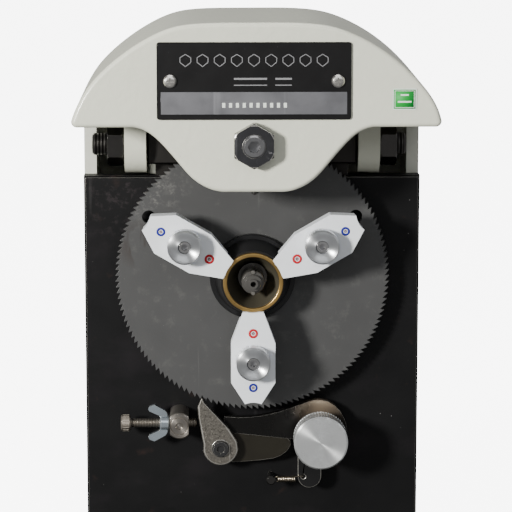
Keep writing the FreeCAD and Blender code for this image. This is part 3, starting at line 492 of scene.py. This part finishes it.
def lathe(bm, centre, profile, steps=64):
    """Rings of (radius, y) about a line along Y through centre; closes on itself."""
    rings = []
    for radius, y in profile:
        ring = []
        for i in range(steps):
            x, z = polar(radius, 360.0 * i / steps)
            ring.append(bm.verts.new(at(centre[0] + x, y, centre[1] + z)))
        rings.append(ring)
    for a, b in zip(rings, rings[1:] + rings[:1]):
        for i in range(steps):
            j = (i + 1) % steps
            bm.faces.new((a[i], a[j], b[j], b[i]))


def slab(bm, outline, y_front, y_back, bevel=0.0):
    """Closed plate from an outline of (x, z) points, its front edge drawn in by bevel."""
    cx = sum(p[0] for p in outline) / len(outline)
    cz = sum(p[1] for p in outline) / len(outline)
    inner = []
    for x, z in outline:
        away = math.hypot(x - cx, z - cz)
        k = (away - bevel) / away
        inner.append((cx + (x - cx) * k, cz + (z - cz) * k))
    loops = [[bm.verts.new(at(x, y, z)) for x, z in ring]
             for ring, y in ((inner, y_front), (outline, y_front + bevel), (outline, y_back))]
    bm.faces.new(loops[0])
    bm.faces.new(list(reversed(loops[2])))
    n = len(outline)
    for a, b in zip(loops, loops[1:]):
        for i in range(n):
            bm.faces.new((a[i], b[i], b[(i + 1) % n], a[(i + 1) % n]))


CLAMP_FACE = -31.0
MARKS = (("red", -12.4, 1.1, 2.1, red_ink), ("blue", 11.9, 1.0, 1.95, blue_ink))
for number, angle in enumerate(CLAMP_ANGLES, 1):
    for colour, offset, inner, outer, ink in MARKS:
        centre = polar(CLAMP_STUD_AT + offset, angle)
        bm = bmesh.new()
        lathe(bm, centre, [(inner, CLAMP_FACE + 0.05), (inner, CLAMP_FACE - 0.1),
                           ((inner + outer) / 2, CLAMP_FACE - 0.12),
                           (outer, CLAMP_FACE - 0.1), (outer, CLAMP_FACE + 0.05)])
        add_piece("%s_mark_%d" % (colour, number), bm, ink, "clamp_%d" % number)
        bm = bmesh.new()
        lathe(bm, centre, [(0.12, CLAMP_FACE - 0.01), (0.12, CLAMP_FACE - 0.03),
                           (inner * 0.62, CLAMP_FACE - 0.05),
                           (inner * 0.7, CLAMP_FACE - 0.01)])
        add_piece("%s_pit_%d" % (colour, number), bm, hole_dark, "clamp_%d" % number)

# Bright rim of the pawl's countersink, round its dark socket screw.
bm = bmesh.new()
lathe(bm, PAWL_PIVOT, [(3.75, PAWL_FACE + 0.05), (3.8, PAWL_FACE - 0.1),
                       (4.05, PAWL_FACE - 0.1), (4.1, PAWL_FACE + 0.05)])
add_piece("pawl_rim", bm, nickel, "pawl")

# Plain ornament in place of any lettering: a row of cut-stone outlines and two short rules.
FACE = -50.4
bm = bmesh.new()
for i in range(9):
    cx, cz, h = -29.0 + 7.25 * i, 99.6, 2.6
    outer = [(cx, cz + h), (cx + 2.3, cz + h * 0.45), (cx + 2.3, cz - h * 0.3), (cx, cz - h),
             (cx - 2.3, cz - h * 0.3), (cx - 2.3, cz + h * 0.45)]
    for p, q in zip(outer, outer[1:] + outer[:1]):
        line = Vector((q[0] - p[0], q[1] - p[1])).normalized()
        nx, nz = -line.y * 0.16, line.x * 0.16
        stroke = [(p[0] + nx, p[1] + nz), (q[0] + nx, q[1] + nz),
                  (q[0] - nx, q[1] - nz), (p[0] - nx, p[1] - nz)]
        slab(bm, stroke, FACE - 0.06, FACE + 0.05)
for x0, x1 in ((-8.5, 5.5), (9.0, 16.0)):
    slab(bm, [(x0, 91.4), (x1, 91.4), (x1, 92.2), (x0, 92.2)], FACE - 0.06, FACE + 0.05)
    slab(bm, [(x0, 88.9), (x1, 88.9), (x1, 89.3), (x0, 89.3)], FACE - 0.06, FACE + 0.05)
add_piece("name_plate_ornament", bm, silver_ink, "frame", False)

STRIP_FACE = -50.65
bm = bmesh.new()
for i in range(10):
    x0 = -13.5 + 2.9 * i
    tick = [(x0, 79.6), (x0 + 1.3, 79.6), (x0 + 1.3, 81.6), (x0, 81.6)]
    slab(bm, tick, STRIP_FACE - 0.05, STRIP_FACE + 0.03)
add_piece("strip_ticks", bm, label_white, "frame", False)

LABEL_FRONT = -49.79
LABEL_BACK = -49.72
x0, x1, z0, z1 = 58.8, 69.0, 78.4, 87.5
bm = bmesh.new()
for inset, width in ((0.0, 0.45), (0.9, 0.22)):
    a0, a1, b0, b1 = x0 + inset, x1 - inset, z0 + inset, z1 - inset
    for p in ([(a0, b0), (a1, b0), (a1, b0 + width), (a0, b0 + width)],
              [(a0, b1 - width), (a1, b1 - width), (a1, b1), (a0, b1)],
              [(a0, b0 + width), (a0 + width, b0 + width), (a0 + width, b1 - width), (a0, b1 - width)],
              [(a1 - width, b0 + width), (a1, b0 + width), (a1, b1 - width), (a1 - width, b1 - width)]):
        slab(bm, p, LABEL_FRONT, LABEL_BACK)
for row, half in ((84.4, 1.7), (81.5, 2.9)):
    cx = (x0 + x1) / 2
    bar = [(cx - half, row), (cx + half, row), (cx + half, row + 0.7), (cx - half, row + 0.7)]
    slab(bm, bar, LABEL_FRONT, LABEL_BACK)
add_piece("label_lines", bm, label_white, "frame", False)


# ---- Floor, lights and camera ---------------------------------------------------------------

FLOOR_GLOW = 7.0
WORLD_STRENGTH = 0.27


def staged_plane(name, corners, glow):
    mesh = bpy.data.meshes.new(name)
    mesh.from_pydata(corners, [], [(0, 1, 2, 3)])
    obj = bpy.data.objects.new(name, mesh)
    bpy.context.scene.collection.objects.link(obj)
    made = Shader(name, (240, 240, 240), 0.0, 0.9)
    made.bsdf.inputs["Emission Color"].default_value = (1, 1, 1, 1)
    made.bsdf.inputs["Emission Strength"].default_value = glow
    mesh.materials.append(made.mat)
    return obj


floor = staged_plane("floor", [(-6, -6, 0), (6, -6, 0), (6, 6, 0), (-6, 6, 0)], FLOOR_GLOW)
floor.visible_diffuse = False
floor.visible_glossy = False


def area_light(name, where, aim, size, power, colour=(1, 1, 1)):
    data = bpy.data.lights.new(name, "AREA")
    data.shape = "RECTANGLE"
    data.size, data.size_y = size
    data.energy = power
    data.color = colour
    obj = bpy.data.objects.new(name, data)
    bpy.context.scene.collection.objects.link(obj)
    obj.location = where
    obj.rotation_euler = (aim - Vector(where)).to_track_quat("-Z", "Y").to_euler()
    return obj


centre = at(0, 0, 0)
area_light("key", centre + Vector((-1.15, -1.35, 0.42)), centre, (0.26, 0.26), 62.0, (1.0, 0.99, 0.955))
area_light("front_fill", centre + Vector((0.25, -1.7, 0.9)), centre, (1.4, 0.9), 6.0, (0.96, 0.98, 1.0))
area_light("right_fill", centre + Vector((1.5, -0.7, 0.6)), centre, (0.9, 0.9), 1.5, (0.95, 0.97, 1.0))
area_light("top", centre + Vector((0.0, 0.1, 1.4)), centre, (1.2, 0.8), 9.0)

world = bpy.data.worlds.new("studio")
bpy.context.scene.world = world
world.use_nodes = True
world.node_tree.nodes["Background"].inputs["Color"].default_value = (1.0, 1.0, 1.0, 1.0)
world.node_tree.nodes["Background"].inputs["Strength"].default_value = WORLD_STRENGTH

level = math.cos(ELEVATION)
aim = Vector((math.sin(YAW) * level, math.cos(YAW) * level, -math.sin(ELEVATION)))
right = Vector((math.cos(YAW), -math.sin(YAW), 0.0))
up = right.cross(aim)
camera_data = bpy.data.cameras.new("camera")
camera_data.sensor_width = 36.0
camera_data.lens = LENS
camera_data.clip_start = 0.05
camera_data.clip_end = 20.0
camera = bpy.data.objects.new("camera", camera_data)
bpy.context.scene.collection.objects.link(camera)
wheel_face = at(0, -10.0, 0)
camera.location = wheel_face - (right * AIM_RIGHT + up * AIM_UP + aim * DISTANCE) / 1000.0
camera.rotation_euler = Matrix((right, up, -aim)).transposed().to_euler()
bpy.context.scene.camera = camera
bpy.context.scene.render.resolution_x = 512
bpy.context.scene.render.resolution_y = 512
